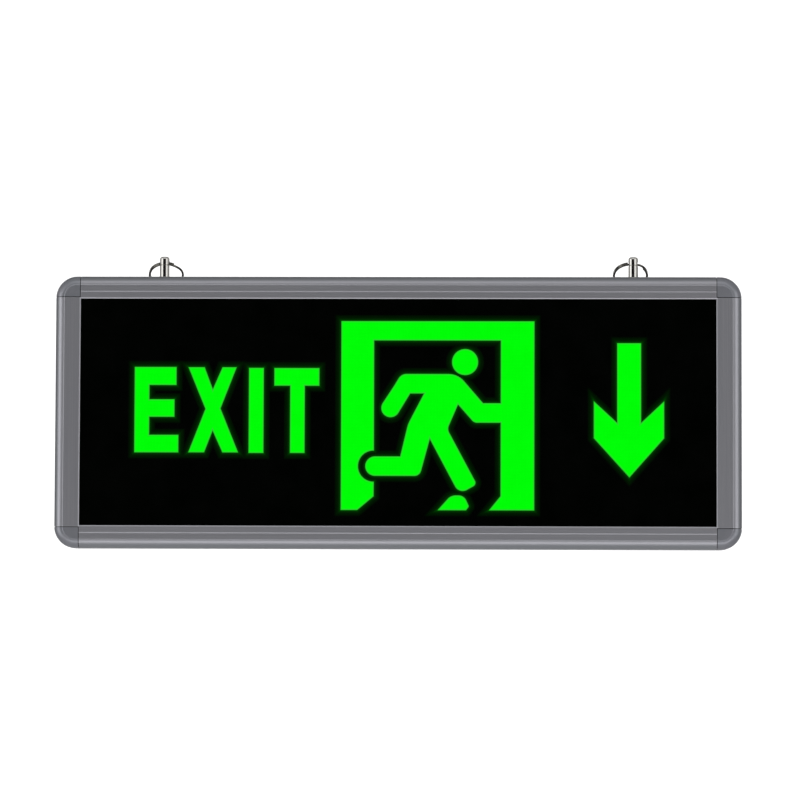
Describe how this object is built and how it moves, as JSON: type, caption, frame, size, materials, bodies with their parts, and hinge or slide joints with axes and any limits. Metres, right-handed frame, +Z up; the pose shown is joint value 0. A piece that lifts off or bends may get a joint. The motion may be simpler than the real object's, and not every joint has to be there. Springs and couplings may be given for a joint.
{
  "type": "emergency exit light",
  "caption": "Slim edge-lit exit sign in an aluminium frame with rounded corner caps, a black face with green windows, two hanging pins with split rings and a battery inside.",
  "frame": {"origin": "middle of the flat bottom edge that the sign stands on", "axes": "+X to the reader's right, +Y from the lit face to the rear cover, +Z up"},
  "size_m": [0.35, 0.0239, 0.1497],
  "materials": {
    "anodised_aluminium": "satin anodised, fine extrusion lines",
    "grey_abs": "fine moulded grain",
    "printed_acrylic": "gloss black with clear green windows",
    "green_film": "satin translucent film",
    "clear_acrylic": "polished",
    "white_film": "matt white",
    "white_coated_sheet": "white powder coat",
    "black_rubber": "matt",
    "circuit_board": "solder mask",
    "white_lamps": "moulded",
    "nickel_plate": "bright nickel plate",
    "zinc_plate": "zinc plated",
    "red_plastic": "gloss",
    "green_lens": "translucent lens",
    "yellow_lens": "translucent lens",
    "red_lens": "translucent lens",
    "black_plastic": "moulded",
    "battery_sleeve": "shrink film over steel cans",
    "white_abs": "moulded",
    "fibre_sheet": "insulating fibre",
    "green_terminal": "moulded",
    "fuse_glass": "clear glass with bright end caps",
    "ferrite": "sintered",
    "yellow_tape": "polyester tape over copper winding",
    "capacitor_sleeve": "shrink sleeve",
    "film_capacitor": "moulded box"
  },
  "bodies": {
    "housing": {"frame_top": "anodised_aluminium", "frame_bottom": "anodised_aluminium", "frame_left": "anodised_aluminium", "frame_right": "anodised_aluminium", "corner_cap_top_left": "grey_abs", "corner_cap_top_right": "grey_abs", "corner_cap_bottom_left": "grey_abs", "corner_cap_bottom_right": "grey_abs", "corner_screws": "zinc_plate", "face_panel": "printed_acrylic", "green_filter": "green_film", "light_guide": "clear_acrylic", "reflector_sheet": "white_film", "rear_cover": "white_coated_sheet", "cable_grommet": "black_rubber", "light_strip": "circuit_board", "strip_lights": "white_lamps", "hanging_pin_left": "nickel_plate", "hanging_pin_right": "nickel_plate", "pin_nuts": "zinc_plate", "test_switch": "black_plastic", "side_board": "circuit_board", "indicator_green": "green_lens", "indicator_yellow": "yellow_lens", "indicator_red": "red_lens", "battery_pack": "battery_sleeve", "battery_holder": "white_abs", "driver_board": "circuit_board", "board_insulator": "fibre_sheet", "board_screws": "zinc_plate", "board_nuts": "zinc_plate", "mains_terminal": "green_terminal", "fuse": "fuse_glass", "transformer_core": "ferrite", "transformer_coil": "yellow_tape", "storage_capacitors": "capacitor_sleeve", "mains_capacitor": "film_capacitor", "battery_socket": "white_abs", "controller_chip": "black_plastic"},
    "ring_left": {"split_ring_left": "nickel_plate"},
    "ring_right": {"split_ring_right": "nickel_plate"},
    "button": {"test_button": "red_plastic"}
  },
  "joints": [
    {"name": "ring_left_swing", "type": "hinge", "parent": "housing", "child": "ring_left", "pos_m": [-0.12, 0, 0.146], "axis": [1, 0, 0], "range_deg": [0, 257]},
    {"name": "ring_right_swing", "type": "hinge", "parent": "housing", "child": "ring_right", "pos_m": [0.12, 0, 0.146], "axis": [1, 0, 0], "range_deg": [0, 257]},
    {"name": "button_press", "type": "slide", "parent": "housing", "child": "button", "axis": [-1, 0, 0], "range_m": [0, 0.0008], "stiffness_N_per_m": 150, "springref_m": -0.002}
  ]
}
